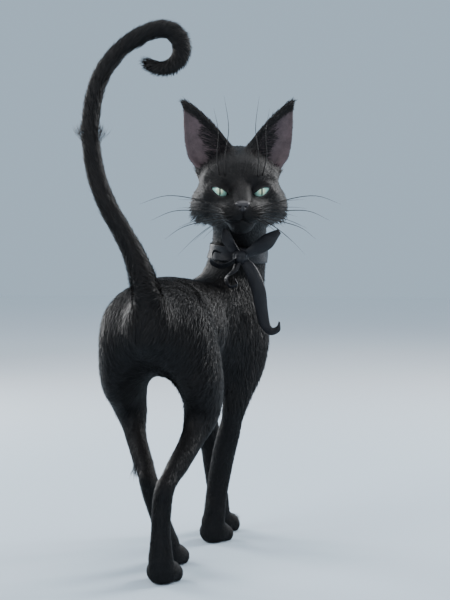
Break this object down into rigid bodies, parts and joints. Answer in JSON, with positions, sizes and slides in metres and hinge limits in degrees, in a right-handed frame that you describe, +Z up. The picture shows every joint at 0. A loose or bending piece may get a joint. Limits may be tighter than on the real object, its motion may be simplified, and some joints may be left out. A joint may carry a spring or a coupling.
{
  "type": "cat",
  "caption": "Life-size still model of a lean short-haired black cat walking away and looking back, tail raised in a long hook, a satin ribbon tied at its throat.",
  "frame": {"origin": "on the floor, under the middle of the whole cat's box", "axes": "+Z up; +Y the way the hindquarters walk, from tail to chest; +X the cat's right-hand side"},
  "size_m": [0.2148, 0.3322, 0.5006],
  "materials": {
    "coat": "short glossy fur",
    "eye": "wet gloss",
    "nose": "damp fine-grained skin",
    "whisker": "stiff glossy bristle",
    "ribbon": "satin"
  },
  "bodies": {
    "root": {"belly": "coat", "brow_whisker_inner_left": "whisker", "brow_whisker_inner_right": "whisker", "brow_whisker_outer_left": "whisker", "brow_whisker_outer_right": "whisker", "chest": "coat", "ear_left": "coat", "ear_right": "coat", "eye_left": "eye", "eye_right": "eye", "fore_left_arm": "coat", "fore_left_forearm": "coat", "fore_left_paw": "coat", "fore_right_arm": "coat", "fore_right_forearm": "coat", "fore_right_paw": "coat", "head": "coat", "hind_left_paw": "coat", "hind_left_shank": "coat", "hind_left_thigh": "coat", "hind_right_paw": "coat", "hind_right_shank": "coat", "hind_right_thigh": "coat", "neck": "coat", "nose": "nose", "ribbon_band": "ribbon", "ribbon_curl_inner": "ribbon", "ribbon_curl_outer": "ribbon", "ribbon_end": "ribbon", "ribbon_knot": "ribbon", "ribbon_wing_left": "ribbon", "ribbon_wing_right": "ribbon", "rump": "coat", "tail_hook": "coat", "tail_lower": "coat", "tail_middle": "coat", "whisker_lower_left": "whisker", "whisker_lower_right": "whisker", "whisker_middle_left": "whisker", "whisker_middle_right": "whisker", "whisker_upper_left": "whisker", "whisker_upper_right": "whisker"}
  },
  "joints": []
}
